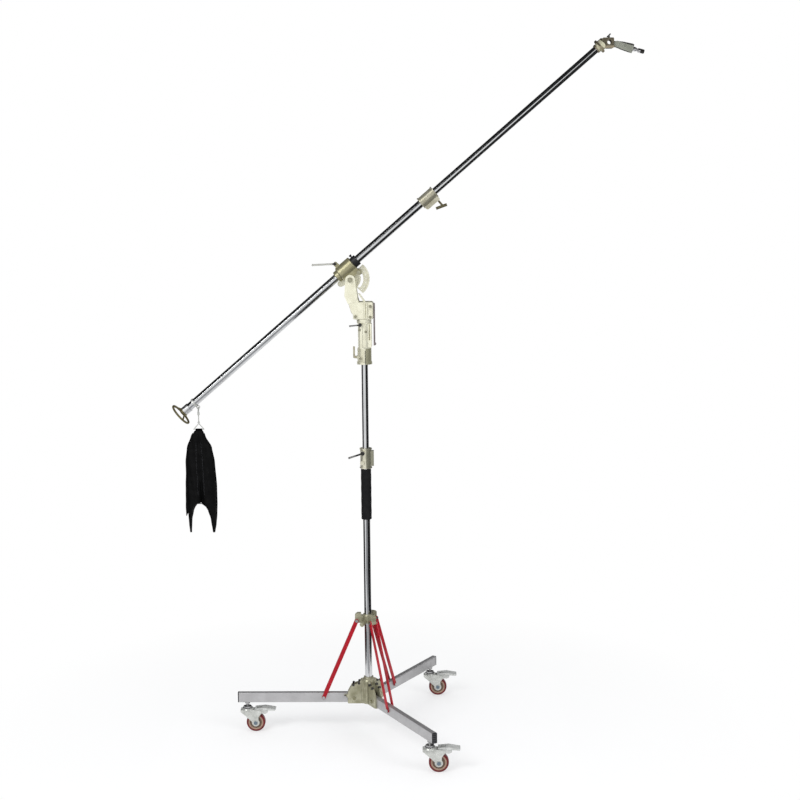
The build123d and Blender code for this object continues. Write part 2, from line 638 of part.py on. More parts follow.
def side_bar():
    """Slim bar down the arm's right flank, ending in a small knob."""
    bar = Pos(39.2, 0, 72) * Box(6.4, 7, 164, align=FOOT)
    return bar + pin_y(41.0, 78, -5, 5, 5.0)


def plate_fan(edge):
    """Sector of the tilt plate whose sides lie outside the slot's ends by the edge."""
    wedge = Pos(0, edge - PLATE_R) * Rectangle(4 * PLATE_R, 2 * PLATE_R)
    fan = Circle(PLATE_R) & Rot(0, 0, SLOT_HALF_ANGLE) * wedge
    return fan & Rot(0, 0, -SLOT_HALF_ANGLE) * mirror(wedge, Plane.XZ)


def tilt_quadrant():
    """Slotted plate with a fan on the right and a short arm on the left."""
    fan = plate_fan(PLATE_EDGE)
    arm = Rot(0, 0, 205) * (Pos(22, 0) * Rectangle(44, 24) + Pos(44, 0) * Circle(12))
    plate = fan + Circle(27) + arm
    plate -= SlotArc(CenterArc((0, 0), SLOT_R, -SLOT_HALF_ANGLE, 2 * SLOT_HALF_ANGLE), SLOT_WIDTH)
    plate -= Circle(PIVOT_BOLT_R)
    for angle in range(-45, 46, 15):
        plate -= Rot(0, 0, angle) * Pos(58, 0) * Circle(1.6)
    inner = SLOT_R - SLOT_WIDTH / 2 - 1
    rim = plate_fan(0) - Circle(PLATE_R - 5) + (plate_fan(0) & Circle(inner) - Circle(inner - 6))
    flat = extrude(side_plane(PIVOT[0], FORK_OUT, PIVOT[1]) * plate, PLATE_THICK, dir=(0, 1, 0))
    return flat + extrude(side_plane(PIVOT[0], FORK_OUT, PIVOT[1]) * rim, PLATE_RIM, dir=(0, -1, 0))


# Tilting clamp, drawn in the boom's own frame

def boom_clamp():
    """Sleeve round the boom, flat beside the tilt plate, with a tongue down to the tilt pivot."""
    tail, step, nose = CLAMP_U
    bore = BOOM_R + RUN_FIT
    sleeve = turned_along([
        (tail, 0), (tail, CLAMP_NECK_R - 2), (tail + 2, CLAMP_NECK_R), (step, CLAMP_NECK_R),
        (step, CLAMP_R - 4), (step + 4, CLAMP_R), (nose - 2, CLAMP_R), (nose, CLAMP_R - 2), (nose, 0),
    ])
    outline = [
        (-17, -BOOM_OFFSET), (-19, -12), (nose - 1, -12), (nose - 1, -27), (SLOT_R + 10, -BOOM_OFFSET),
    ]
    tongue = slab(outline, -TONGUE_HALF, TONGUE_HALF)
    tongue += pin_y(0, -BOOM_OFFSET, -TONGUE_HALF, TONGUE_HALF, 17.0)
    tongue += pin_y(SLOT_R, -BOOM_OFFSET, -TONGUE_HALF, TONGUE_HALF, 10.0)
    lug = slab([(-13, 24), (-13, 50), (2, 50), (6, 24)], -6, 6, [0, 6, 6, 0])
    lug -= pin_y(*CLAMP_LEVER, -7, 7, 2.5 + PIN_FIT)
    body = sleeve + tongue + lug
    beside_plate = FORK_OUT - PLATE_RIM - FACE_GAP
    body -= Pos(0, beside_plate + 10, 0) * Box(200, 20, 100)
    body -= pin_y(0, -BOOM_OFFSET, -40, 40, PIVOT_BOLT_R + PIN_FIT)
    body -= pin_y(SLOT_R, -BOOM_OFFSET, -40, 40, LOCK_BOLT_R)
    return body - rod((tail - 1, 0, 0), (nose + 1, 0, 0), bore)


def clamp_lever():
    """Long lever that grips the boom in its sleeve."""
    u, v = CLAMP_LEVER
    handle = lever(u, v, -71.9, 95.8, -6 - FACE_GAP - 8, -6 - FACE_GAP, 6.0, 3.6)
    return handle + pin_y(u, v, -8, 6 + FACE_GAP, 2.5) + pin_y(u, v, 6 + FACE_GAP, 10, 4.5)


def tilt_lock_bolt():
    """Bolt from the tongue through the tilt plate's slot, with its knob behind."""
    u, v = SLOT_R, -BOOM_OFFSET
    back = FORK_OUT + PLATE_THICK + FACE_GAP
    bolt = pin_y(u, v, -TONGUE_HALF, back, LOCK_BOLT_R)
    bolt += hex_bar((u, -TONGUE_HALF - 6, v), (u, -TONGUE_HALF, v), 14)
    return bolt + pin_y(u, v, back, back + 14, 13.0)


# Boom and what rides on it, in the boom's own frame

def hanger_eye():
    """Thin ring that the boom turns in, with an eye below for the bag."""
    half = 4.0
    band = turned_along([
        (HANGER_U - half, BOOM_R + RUN_FIT), (HANGER_U - half, BOOM_R + 3),
        (HANGER_U + half, BOOM_R + 3), (HANGER_U + half, BOOM_R + RUN_FIT),
    ])
    eye = Pos(HANGER_U, 0, EYE_V) * Rot(90, 0, 0) * Torus(EYE_R, EYE_WIRE_R)
    return band + eye


def snap_hook():
    """Snap hook, its swivel and the triangular ring of the bag, hanging plumb."""
    wire, loop = 1.6, 9.5
    neck = BAG_TOP + 28
    hook = Pos(0, 0, -loop) * Rot(0, 90, 25) * Torus(loop, wire)
    barrel = rod((0, 0, -2 * loop - 12), (0, 0, -2 * loop), 4.0)
    shank = rod((0, 0, neck), (0, 0, -2 * loop - 10), 1.9)
    ball = Pos(0, 0, neck + 2) * Sphere(4.2)
    apex, left, right = (0, 0, neck - 2), (-20, 0, BAG_TOP + 3), (20, 0, BAG_TOP + 3)
    ring = rod(apex, left, wire) + rod(left, right, wire) + rod(right, apex, wire)
    for corner in (apex, left, right):
        ring += Pos(*corner) * Sphere(wire)
    return hook + barrel + shank + ball + ring


def bag_section(drop, left, right, depth):
    """Rounded rectangle across the bag, a drop below its top."""
    width = right - left
    corner = 0.45 * min(width, depth)
    return Pos((left + right) / 2, 0, BAG_TOP - drop) * RectangleRounded(width, depth, corner)


def sandbag():
    """Slack saddle bag: one body above and two pointed lobes below."""
    body = [
        (0, -16.7, 16.3, 14), (24, -30.7, 23.3, 20), (69, -47.7, 47.3, 36),
        (126, -54.7, 57.3, 46), (221, -58.7, 63.3, 54), (292, -59.7, 63.3, 50),
    ]
    left = [(259, -54.7, -13.7, 40), (317, -57.7, -30.7, 38), (354, -55.7, -35.7, 26), (407, -46.7, -38.7, 8)]
    right = [(259, 14.3, 58.3, 40), (329, 33.3, 59.3, 38), (364, 39.3, 57.3, 26), (408, 45.3, 53.3, 8)]
    bag = loft([bag_section(*row) for row in body], ruled=True)
    for lobe in (left, right):
        bag += loft([bag_section(*row) for row in lobe], ruled=True)
    return bag


def boom_tube():
    """Outer tube of the boom."""
    return turned_along([
        (BOOM_TAIL_U, BOOM_R - BOOM_WALL), (BOOM_TAIL_U, BOOM_R),
        (BOOM_HEAD_U, BOOM_R), (BOOM_HEAD_U, BOOM_R - BOOM_WALL),
    ])


def handwheel():
    """Dished handwheel on the tail, which turns the boom."""
    hub = turned_along([
        (BOOM_TAIL_U - 28, 0), (BOOM_TAIL_U - 28, 13), (BOOM_TAIL_U - 22, 17.5),
        (BOOM_TAIL_U + 10, 17.5), (BOOM_TAIL_U + 10, BOOM_R), (BOOM_TAIL_U, BOOM_R), (BOOM_TAIL_U, 0),
    ])
    rim = Pos(HANDWHEEL_U, 0, 0) * Rot(0, 90, 0) * Torus(HANDWHEEL_R, HANDWHEEL_RIM_R)
    spoke = rod((BOOM_TAIL_U - 18, 0, 12), (HANDWHEEL_U, 0, HANDWHEEL_R), 3.2)
    wheel = hub + rim
    for turn in (0, 120, 240):
        wheel += Rot(turn, 0, 0) * spoke
    return wheel


def stop_ring():
    """Ring that stops the boom sliding down through the clamp, and its thumb screw."""
    radius, width = STOP_RING
    start = CLAMP_U[2] + 0.4
    ring = turned_along([
        (start, BOOM_R), (start, radius), (start + width, radius), (start + width, BOOM_R),
    ])
    u = start + width / 2
    screw = rod((u, 0, radius), (u, 0, radius + 5), 3.0) + rod((u, 0, radius + 4), (u, 0, radius + 10), 5.0)
    return [ring, screw]


def boom_collar():
    """Flanged collar at the mouth of the outer tube, split below."""
    low, high = BOOM_COLLAR_U
    body = turned_along([
        (low, BOOM_R), (low, COLLAR_FLANGE_R - 1), (low + 1, COLLAR_FLANGE_R),
        (low + FLANGE, COLLAR_FLANGE_R), (low + FLANGE + 1, COLLAR_BODY_R),
        (high - FLANGE - 1, COLLAR_BODY_R), (high - FLANGE, COLLAR_FLANGE_R),
        (high - 1, COLLAR_FLANGE_R), (high, COLLAR_FLANGE_R - 1),
        (high, INNER_R + RUN_FIT), (BOOM_HEAD_U, INNER_R + RUN_FIT), (BOOM_HEAD_U, BOOM_R),
    ])
    lug = slab([(low + 3, -16), (high - 3, -16), (high - 3, -36), (low + 3, -36)], -9, 9,
               [0, 0, 4, 8])
    body += lug - rod((low - 1, 0, 0), (high + 1, 0, 0), BOOM_R)
    split = Pos((low + high) / 2, 0, -27.5) * Box(80, 2.4, 25)
    return [body - split, hex_bar((low + 19, -14, -28), (low + 19, -9, -28), 12)]


def boom_lock_handle():
    """Bronze T-handle under the boom's collar."""
    start = -36 - FACE_GAP
    u = BOOM_COLLAR_U[1] - 12
    stem = rod((u, 0, start), (u, 0, -60), 4.0)
    return stem + rod((u - 26, 0, -52.5), (u + 15, 0, -68), 5.5)


def inner_tube():
    """Inner tube of the boom."""
    tail, head = INNER_U
    return turned_along([
        (tail, INNER_R - INNER_WALL), (tail, INNER_R), (head, INNER_R), (head, INNER_R - INNER_WALL),
    ])


def end_receiver():
    """Casting on the boom's end with a cross bore for a stud and a tongue for the knuckle."""
    along_tube = Rot(0, -BOOM_ANGLE, 0)
    sleeve = along_tube * turned_along([
        (-22, INNER_R), (-22, 17), (-9, 17), (-9, 27), (-2, 27),
        (-2, 20), (18, 20), (24, 14), (24, 0), (0, 0), (0, INNER_R),
    ])
    x, z = KNUCKLE_PIVOT
    right, top = x - 11.5, RECEIVER_TOP
    block = slab([(5, -7.5), (5, top), (right, top), (right, -10.5), (16, -10.5)],
                 -RECEIVER_HALF, RECEIVER_HALF, [5, 5, 5, 5, 5])
    block -= along_tube * rod((-60, 0, 0), (0, 0, 0), 26)
    tongue = slab([(42, z - 11), (42, z + 11), (x, z + 11), (x, z - 11)], -8, 8) + pin_y(x, z, -8, 8, 11)
    body = sleeve + block + tongue
    body += pin_y(*RECEIVER_HOLE, -RECEIVER_HALF - 3, RECEIVER_HALF, 13)
    body -= pin_y(*RECEIVER_HOLE, -RECEIVER_HALF - 4, RECEIVER_HALF + 1, RECEIVER_R)
    return body - pin_y(x, z, -9, 9, 4.0 + PIN_FIT)


def receiver_screw():
    """T-screw on top of the end casting."""
    x, z = RECEIVER_HOLE[0], RECEIVER_TOP + FACE_GAP
    stem = rod((x, 0, z), (x, 0, z + 8), 3.5)
    return stem + rod((x - 7, 0, z + 3), (x + 6, 0, z + 15), 2.4)


def end_knuckle():
    """Tilting knuckle, forked round the receiver's tongue, with its pivot pin."""
    body = slab([(13, -13), (13, 13), (58, 16), (58, -16)], -16, 16, [4, 4, 2, 2])
    body += turned_along([(57, 0), (57, 17), (63, 17), (63, 0)])
    cheek = slab([(0, -11), (0, 11), (20, 13), (20, -13)], 8 + FACE_GAP, 16) + pin_y(
        0, 0, 8 + FACE_GAP, 16, 11)
    body += both_sides(cheek)
    body -= Pos(30, -16, 3) * Rot(90, 0, 0) * Cylinder(6, 6)
    body -= pin_y(0, 0, -20, 20, 4.0)
    pin = pin_y(0, 0, -18, 18, 4.0) + pin_y(0, 0, -19, -16, 6.5) + pin_y(0, 0, 16, 19, 6.5)
    return [body - rod((62, 0, 0), (64, 0, 0), SPIGOT_R), pin]


def spigot():
    """Grooved stud for a lamp."""
    return turned_along([
        (62, 0), (62, SPIGOT_R), (74, SPIGOT_R), (76, 5.5), (82, 5.5), (84, SPIGOT_R),
        (105, SPIGOT_R), (107, 6), (107, 0),
    ])


# Nodes

nodes = {
    "base_hub": base_hub(),
    "base_bolts": base_bolts(),
    "mast_tube": mast_tube(),
    "foam_grip": foam_grip(),
    "mast_collar": mast_collar(),
    "mast_lock_handle": mast_lock_handle(),
    "brace_collar": brace_collar(),
    "riser_tube": riser_tube(),
}

head_makers = {
    "head_socket": head_socket, "socket_handle": socket_handle, "head_column": head_column,
    "column_bolts": column_bolts, "pan_lock_handle": pan_lock_handle, "head_arm": head_arm,
    "arm_bolts": arm_bolts, "side_bar": side_bar, "tilt_quadrant": tilt_quadrant,
}
leg_makers = {
    "leg_tube": leg_tube, "leg_cap": leg_cap, "leg_hardware": leg_hardware,
    "brace_straps": brace_straps, "brace_rivets": brace_rivets,
}
caster_makers = {
    "caster_fork": caster_fork, "caster_tyre": caster_tyre,
    "caster_core": caster_core, "brake_pedal": brake_pedal,
}
boom_makers = {
    "boom_clamp": boom_clamp, "clamp_lever": clamp_lever, "tilt_lock_bolt": tilt_lock_bolt,
    "hanger_eye": hanger_eye, "boom_tube": boom_tube, "handwheel": handwheel,
    "stop_ring": stop_ring, "boom_collar": boom_collar, "boom_lock_handle": boom_lock_handle,
    "inner_tube": inner_tube,
}
hang_makers = {"snap_hook": snap_hook, "sandbag": sandbag}
end_makers = {"end_receiver": end_receiver, "receiver_screw": receiver_screw}
knuckle_makers = {"end_knuckle": end_knuckle, "spigot": spigot}


def placed(frame, shape):
    """One shape or a list of shapes moved by a frame."""
    if isinstance(shape, list):
        return [frame * piece for piece in shape]
    return frame * shape


for name, maker in leg_makers.items():
    for number, azimuth in enumerate(LEG_AZIMUTHS, start=1):
        nodes[f"{name}_{number}"] = placed(leg_frame(azimuth), maker())
for name, maker in caster_makers.items():
    for number, azimuth in enumerate(LEG_AZIMUTHS, start=1):
        nodes[f"{name}_{number}"] = placed(caster_frame(azimuth), maker())
groups = (
    (HEAD_FRAME, head_makers), (BOOM_FRAME, boom_makers), (HANG_FRAME, hang_makers),
    (END_FRAME, end_makers), (KNUCKLE_FRAME, knuckle_makers),
)
for frame, makers in groups:
    for name, maker in makers.items():
        nodes[name] = placed(frame, maker())

os.makedirs("parts", exist_ok=True)
for name, shape in nodes.items():
    pieces = shape if isinstance(shape, list) else [shape]
    solids = [solid for piece in pieces for solid in piece.solids()]
    export_step(Compound(solids), f"parts/{name}.step")
print(len(nodes), "nodes")
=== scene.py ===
import json
from math import atan2, cos, pi, radians, sin, sqrt

import bmesh
import bpy
from mathutils import Matrix, Vector


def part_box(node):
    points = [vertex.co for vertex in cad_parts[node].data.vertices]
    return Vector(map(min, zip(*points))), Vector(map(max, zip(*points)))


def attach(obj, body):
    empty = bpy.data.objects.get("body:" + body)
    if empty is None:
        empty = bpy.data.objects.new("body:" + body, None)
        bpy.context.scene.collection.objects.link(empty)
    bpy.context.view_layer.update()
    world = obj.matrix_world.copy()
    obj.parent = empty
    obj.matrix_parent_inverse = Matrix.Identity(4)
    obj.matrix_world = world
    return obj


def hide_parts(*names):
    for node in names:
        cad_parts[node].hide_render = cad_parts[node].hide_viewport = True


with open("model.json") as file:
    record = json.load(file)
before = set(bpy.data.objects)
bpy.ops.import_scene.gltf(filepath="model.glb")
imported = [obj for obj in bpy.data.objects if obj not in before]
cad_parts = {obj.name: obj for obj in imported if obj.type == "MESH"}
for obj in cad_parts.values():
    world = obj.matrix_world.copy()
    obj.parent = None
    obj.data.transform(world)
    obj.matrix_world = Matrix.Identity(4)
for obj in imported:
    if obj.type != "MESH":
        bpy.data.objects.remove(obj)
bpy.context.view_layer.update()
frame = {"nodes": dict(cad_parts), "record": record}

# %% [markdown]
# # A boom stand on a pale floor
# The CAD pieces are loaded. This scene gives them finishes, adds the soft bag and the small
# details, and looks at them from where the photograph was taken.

nodes = frame["nodes"]
scene = bpy.context.scene

# %% [markdown]
# ## Node groups
# A shared effect is built once. It takes plain numbers and puts out masks and heights.

# %% Helpers for groups and materials


def new_group(name, inputs, outputs):
    """A shader node group with float inputs and the named outputs."""
    group = bpy.data.node_groups.new(name, "ShaderNodeTree")
    for label, value in inputs:
        socket = group.interface.new_socket(label, in_out="INPUT", socket_type="NodeSocketFloat")
        socket.default_value = value
    for label, kind in outputs:
        group.interface.new_socket(label, in_out="OUTPUT", socket_type=kind)
    return group, group.nodes.new("NodeGroupInput"), group.nodes.new("NodeGroupOutput")


def noise(tree, vector, scale, detail=4.0, roughness=0.55):
    """A noise texture on the given coordinates."""
    node = tree.nodes.new("ShaderNodeTexNoise")
    node.inputs["Detail"].default_value = detail
    node.inputs["Roughness"].default_value = roughness
    if vector is not None:
        tree.links.new(vector, node.inputs["Vector"])
    if isinstance(scale, (int, float)):
        node.inputs["Scale"].default_value = scale
    else:
        tree.links.new(scale, node.inputs["Scale"])
    return node


def math_node(tree, operation, a, b=None):
    """One arithmetic step."""
    node = tree.nodes.new("ShaderNodeMath")
    node.operation = operation
    for socket, value in zip(node.inputs, (a, b)):
        if value is None:
            continue
        if isinstance(value, (int, float)):
            socket.default_value = value
        else:
            tree.links.new(value, socket)
    return node.outputs[0]


def remap(tree, value, low, high, to_low, to_high):
    """Value from one span to another, clamped."""
    node = tree.nodes.new("ShaderNodeMapRange")
    for label, number in (("From Min", low), ("From Max", high), ("To Min", to_low), ("To Max", to_high)):
        node.inputs[label].default_value = number
    tree.links.new(value, node.inputs["Value"])
    return node.outputs["Result"]


def grain_group():
    """Fine surface grain, soft blotches and sparse specks in object coordinates."""
    group, inputs, outputs = new_group(
        "Surface grain", [("Grain scale", 900.0), ("Blotch scale", 25.0)],
        [("Grain", "NodeSocketFloat"), ("Blotch", "NodeSocketFloat"), ("Specks", "NodeSocketFloat")])
    where = group.nodes.new("ShaderNodeTexCoord").outputs["Object"]
    grain = noise(group, where, inputs.outputs["Grain scale"], 3.0)
    blotch = noise(group, where, inputs.outputs["Blotch scale"], 5.0, 0.6)
    cells = group.nodes.new("ShaderNodeTexVoronoi")
    group.links.new(where, cells.inputs["Vector"])
    group.links.new(inputs.outputs["Grain scale"], cells.inputs["Scale"])
    group.links.new(grain.outputs["Fac"], outputs.inputs["Grain"])
    group.links.new(remap(group, blotch.outputs["Fac"], 0.35, 0.65, 0.0, 1.0), outputs.inputs["Blotch"])
    group.links.new(remap(group, cells.outputs["Distance"], 0.02, 0.12, 1.0, 0.0), outputs.inputs["Specks"])
    return group


GRAIN = grain_group()


def edge_group():
    """Mask that is bright where the surface turns sharply outward."""
    group, inputs, outputs = new_group(
        "Edge wear", [("Reach", 0.0015)], [("Mask", "NodeSocketFloat")])
    bevel = group.nodes.new("ShaderNodeBevel")
    bevel.samples = 4
    group.links.new(inputs.outputs["Reach"], bevel.inputs["Radius"])
    geometry = group.nodes.new("ShaderNodeNewGeometry")
    dot = group.nodes.new("ShaderNodeVectorMath")
    dot.operation = "DOT_PRODUCT"
    group.links.new(bevel.outputs["Normal"], dot.inputs[0])
    group.links.new(geometry.outputs["Normal"], dot.inputs[1])
    group.links.new(remap(group, dot.outputs["Value"], 0.99, 0.85, 0.0, 1.0), outputs.inputs["Mask"])
    return group


EDGES = edge_group()


def mix_color(tree, factor, a, b):
    """Colour a where the factor is 0 and colour b where it is 1."""
    node = tree.nodes.new("ShaderNodeMix")
    node.data_type = "RGBA"
    for socket, value in ((node.inputs[6], a), (node.inputs[7], b)):
        if isinstance(value, (tuple, list)):
            socket.default_value = (*value, 1.0)
        else:
            tree.links.new(value, socket)
    if isinstance(factor, (int, float)):
        node.inputs[0].default_value = factor
    else:
        tree.links.new(factor, node.inputs[0])
    return node.outputs[2]


def mix_value(tree, factor, a, b):
    """Value a where the factor is 0 and value b where it is 1."""
    node = tree.nodes.new("ShaderNodeMix")
    tree.links.new(factor, node.inputs[0])
    for socket, value in ((node.inputs[2], a), (node.inputs[3], b)):
        if isinstance(value, (int, float)):
            socket.default_value = value
        else:
            tree.links.new(value, socket)
    return node.outputs[0]


def near_mask(tree, center, reach):
    """1 within a reach of a point in object coordinates, and 0 beyond it."""
    where = tree.nodes.new("ShaderNodeTexCoord").outputs["Object"]
    away = tree.nodes.new("ShaderNodeVectorMath")
    away.operation = "DISTANCE"
    away.inputs[1].default_value = center
    tree.links.new(where, away.inputs[0])
    return remap(tree, away.outputs["Value"], reach, reach + 0.0006, 1.0, 0.0)


def surface(name, color, dark, metallic, roughness, spread=0.08, grain=900.0, blotch=25.0,
            bump=0.05, wear_and_shade=0.3, wear_and_shade_color=(0.75, 0.74, 0.7), coat=0.0, tips=(), shine=0.5):
    """A material with grain, blotches and tinted edges: the tint is wear on most pieces and painted shade on the head
    bolts. Each tip is (centre, reach, colour, metallic).
    """
    material = bpy.data.materials.new(name)
    material.use_nodes = True
    tree = material.node_tree
    shader = tree.nodes["Principled BSDF"]
    shader.inputs["Metallic"].default_value = metallic
    shader.inputs["Coat Weight"].default_value = coat
    shader.inputs["Specular IOR Level"].default_value = shine
    marks = tree.nodes.new("ShaderNodeGroup")
    marks.node_tree = GRAIN
    marks.inputs["Grain scale"].default_value = grain
    marks.inputs["Blotch scale"].default_value = blotch
    edges = tree.nodes.new("ShaderNodeGroup")
    edges.node_tree = EDGES
    base = mix_color(tree, marks.outputs["Blotch"], color, dark)
    metal = metallic
    for center, reach, tip_color, tip_metallic in tips:
        near = near_mask(tree, center, reach)
        base = mix_color(tree, near, base, tip_color)
        metal = mix_value(tree, near, metal, tip_metallic)
    if tips:
        tree.links.new(metal, shader.inputs["Metallic"])
    worn_and_shaded = math_node(tree, "MULTIPLY", edges.outputs["Mask"], wear_and_shade)
    tree.links.new(mix_color(tree, worn_and_shaded, base, wear_and_shade_color), shader.inputs["Base Color"])
    rough = remap(tree, marks.outputs["Blotch"], 0.0, 1.0, roughness - spread / 2, roughness + spread / 2)
    tree.links.new(rough, shader.inputs["Roughness"])
    bump_node = tree.nodes.new("ShaderNodeBump")
    bump_node.inputs["Strength"].default_value = bump
    bump_node.inputs["Distance"].default_value = 0.001
    tree.links.new(marks.outputs["Grain"], bump_node.inputs["Height"])
    tree.links.new(bump_node.outputs["Normal"], shader.inputs["Normal"])
    return material


# %% [markdown]
# ## Finishes
# Chrome tubes, champagne and olive castings, red braces, zinc casters.

# %% Materials
chrome = surface("Chrome", (0.66, 0.67, 0.68), (0.58, 0.59, 0.60), 1.0, 0.08, 0.04, 2500, 12, 0.01, 0.0)
olive = surface("Olive casting", (0.43, 0.415, 0.30), (0.26, 0.25, 0.16), 0.5, 0.34, 0.14, 1800, 34, 0.06,
                0.5, (0.72, 0.70, 0.58))
champagne = surface("Head casting", (0.80, 0.785, 0.63), (0.68, 0.66, 0.51), 0.5, 0.30, 0.14, 1800, 34, 0.05,
                    0.5, (0.90, 0.88, 0.78))
alloy = surface("Leg alloy", (0.50, 0.495, 0.50), (0.44, 0.435, 0.44), 0.7, 0.40, 0.08, 1400, 18, 0.04, 0.2)
zinc = surface("Zinc plate", (0.66, 0.67, 0.64), (0.50, 0.51, 0.48), 0.6, 0.30, 0.14, 1200, 40, 0.05, 0.25)
steel = surface("Bolt steel", (0.5, 0.5, 0.5), (0.36, 0.36, 0.37), 0.95, 0.3, 0.1, 1500, 60, 0.04, 0.3)
red = surface("Red strap", (0.40, 0.004, 0.016), (0.30, 0.002, 0.010), 0.0, 0.34, 0.1, 1500, 25, 0.04,
              0.1, (0.6, 0.2, 0.2), 0.0, shine=0.25)
dark = surface("Dark lever", (0.05, 0.045, 0.04), (0.03, 0.028, 0.026), 0.4, 0.35, 0.1, 1500, 40, 0.05, 0.4)
bronze = surface("Bronze handle", (0.13, 0.115, 0.06), (0.085, 0.075, 0.038), 0.5, 0.36, 0.1, 1500, 40, 0.06,
                 0.45, (0.45, 0.42, 0.3))
plastic = surface("Black plastic", (0.014, 0.014, 0.016), (0.008, 0.008, 0.009), 0.0, 0.5, 0.1, 1500, 40, 0.06,
                  0.15, (0.1, 0.1, 0.1), shine=0.3)
foam = surface("Grip foam", (0.008, 0.008, 0.009), (0.005, 0.005, 0.006), 0.0, 0.82, 0.1, 2200, 60, 0.35, 0.0,
               shine=0.2)
tread = surface("Red tread", (0.15, 0.005, 0.008), (0.09, 0.003, 0.004), 0.0, 0.34, 0.1, 1200, 60, 0.04,
                0.1, (0.4, 0.1, 0.1), shine=0.35)
core = surface("Wheel core", (0.55, 0.36, 0.27), (0.46, 0.29, 0.21), 0.0, 0.42, 0.1, 1200, 60, 0.04, 0.1)
cloth = surface("Bag cloth", (0.0028, 0.0028, 0.003), (0.0015, 0.0015, 0.0017), 0.0, 0.70, 0.1, 2600, 30, 0.3, 0.0,
                shine=0.10)

finish_of = {
    "chrome_tube": chrome, "olive_casting": olive, "head_casting": champagne, "leg_alloy": alloy,
    "zinc_plate": zinc, "bolt_steel": steel, "red_strap": red, "dark_lever": dark,
    "bronze_handle": bronze, "black_plastic": plastic, "grip_foam": foam, "red_tread": tread,
    "wheel_core": core, "bag_fabric": cloth,
}
for part in frame["record"]["subparts"]:
    mesh = nodes[part["node"]].data
    mesh.materials.clear()
    mesh.materials.append(finish_of[part["material_slot"]])
print(len(finish_of), "finishes")

# %% [markdown]
# ## Pieces of two tones, and painted shade
# Some CAD nodes carry a second colour close to one point: the dark root of a lever, the black
# screws on top of the hub's brackets, and the darker middle of each wheel. The right halves of
# the mast collar and the head socket are darkened as painted shade.

# %% Two tones and painted shade


def add_ribs(material, pitch):
    """Level ribs, one above the other, on top of the material's grain."""
    tree = material.node_tree
    shader = tree.nodes["Principled BSDF"]
    where = tree.nodes.new("ShaderNodeTexCoord").outputs["Object"]
    wave = tree.nodes.new("ShaderNodeTexWave")
    wave.bands_direction = "Z"
    wave.inputs["Scale"].default_value = 2 * pi / (20 * pitch)
    tree.links.new(where, wave.inputs["Vector"])
    relief = tree.nodes.new("ShaderNodeBump")
    relief.inputs["Distance"].default_value = 0.002
    tree.links.new(wave.outputs["Fac"], relief.inputs["Height"])
    tree.links.new(shader.inputs["Normal"].links[0].from_socket, relief.inputs["Normal"])
    tree.links.new(relief.outputs["Normal"], shader.inputs["Normal"])
    base = shader.inputs["Base Color"].links[0].from_socket
    tree.links.new(mix_color(tree, wave.outputs["Fac"], base, (0.05, 0.05, 0.055)), shader.inputs["Base Color"])


def wear_material(node, material):
    """Gives one CAD node a material of its own."""
    nodes[node].data.materials.clear()
    nodes[node].data.materials.append(material)


BLACK, BROWN, CREAM = (0.012, 0.011, 0.010), (0.20, 0.13, 0.09), (0.62, 0.60, 0.44)
OLIVE, BRIGHT = (0.21, 0.20, 0.115), (0.66, 0.67, 0.68)
# Centre of a wide sphere that covers the head socket's right half, which is painted darker as painted shade
RIGHT_HALF_SHADE_CENTRE = (0.504, 0.0, 1.51)
wear_material("clamp_lever", surface(
    "Clamp lever steel", (0.50, 0.50, 0.46), (0.38, 0.38, 0.34), 0.3, 0.35, 0.1, 1500, 60, 0.04, 0.3,
    tips=[((-0.1088, -0.01, 1.866), 0.0095, BLACK, 0.2)]))
wear_material("pan_lock_handle", surface(
    "Pan lever steel", (0.40, 0.40, 0.39), (0.28, 0.28, 0.28), 0.9, 0.25, 0.1, 1500, 60, 0.04, 0.3,
    tips=[((-0.014, -0.032, 1.633), 0.013, BLACK, 0.2)]))
wear_material("socket_handle", surface(
    "Socket lever", (0.52, 0.49, 0.36), (0.36, 0.33, 0.23), 0.5, 0.34, 0.1, 1500, 60, 0.06, 0.4))
wear_material("base_bolts", surface(
    "Base bolt steel", (0.6, 0.6, 0.6), (0.42, 0.42, 0.43), 0.95, 0.2, 0.1, 1500, 60, 0.04, 0.3,
    tips=[((0.0, 0.0, 0.13), 0.083, OLIVE, 0.4), ((0.0, 0.0, 0.26), 0.105, BLACK, 0.3)]))
wear_material("mast_lock_handle", surface(
    "Mast lever steel", (0.24, 0.24, 0.23), (0.15, 0.15, 0.14), 0.7, 0.3, 0.1, 1500, 60, 0.04, 0.3,
    tips=[((-0.016, -0.03, 1.131), 0.024, BLACK, 0.2)]))
# Painted shade: the tip, a wide sphere centred to the right, darkens the collar's right half
wear_material("mast_collar", surface(
    "Collar casting", (0.72, 0.70, 0.57), (0.58, 0.56, 0.44), 0.6, 0.28, 0.14, 1800, 34, 0.05, 0.5, (0.85, 0.83, 0.72),
    tips=[((0.5005, 0.0, 1.11), 0.5, (0.27, 0.265, 0.20), 0.6)]))
wear_material("boom_collar", surface(
    "Boom collar casting", (0.50, 0.48, 0.38), (0.36, 0.34, 0.25), 0.65, 0.26, 0.14, 1800, 34, 0.05, 0.5,
    (0.88, 0.86, 0.76)))
wear_material("side_bar", surface(
    "Side bar steel", (0.22, 0.19, 0.19), (0.15, 0.125, 0.125), 0.7, 0.3, 0.1, 1500, 60, 0.04, 0.3))
wear_material("receiver_screw", surface(
    "Black screw", (0.03, 0.03, 0.03), (0.015, 0.015, 0.015), 0.4, 0.35, 0.1, 1500, 60, 0.04, 0.2))
wear_material("boom_clamp", surface(
    "Clamp casting", (0.36, 0.34, 0.21), (0.27, 0.25, 0.145), 0.6, 0.3, 0.14, 1800, 34, 0.05, 0.5, (0.85, 0.82, 0.66)))
# Painted shade: these bolts tint their edges with their own dark colour, which paints a dark outline round each head
for node in ("arm_bolts", "column_bolts", "tilt_lock_bolt"):
    wear_material(node, surface(
        f"Head bolts {node}", (0.34, 0.33, 0.24), (0.20, 0.19, 0.13), 0.6, 0.3, 0.1, 1500, 60, 0.05, 0.6,
        (0.20, 0.19, 0.13)))
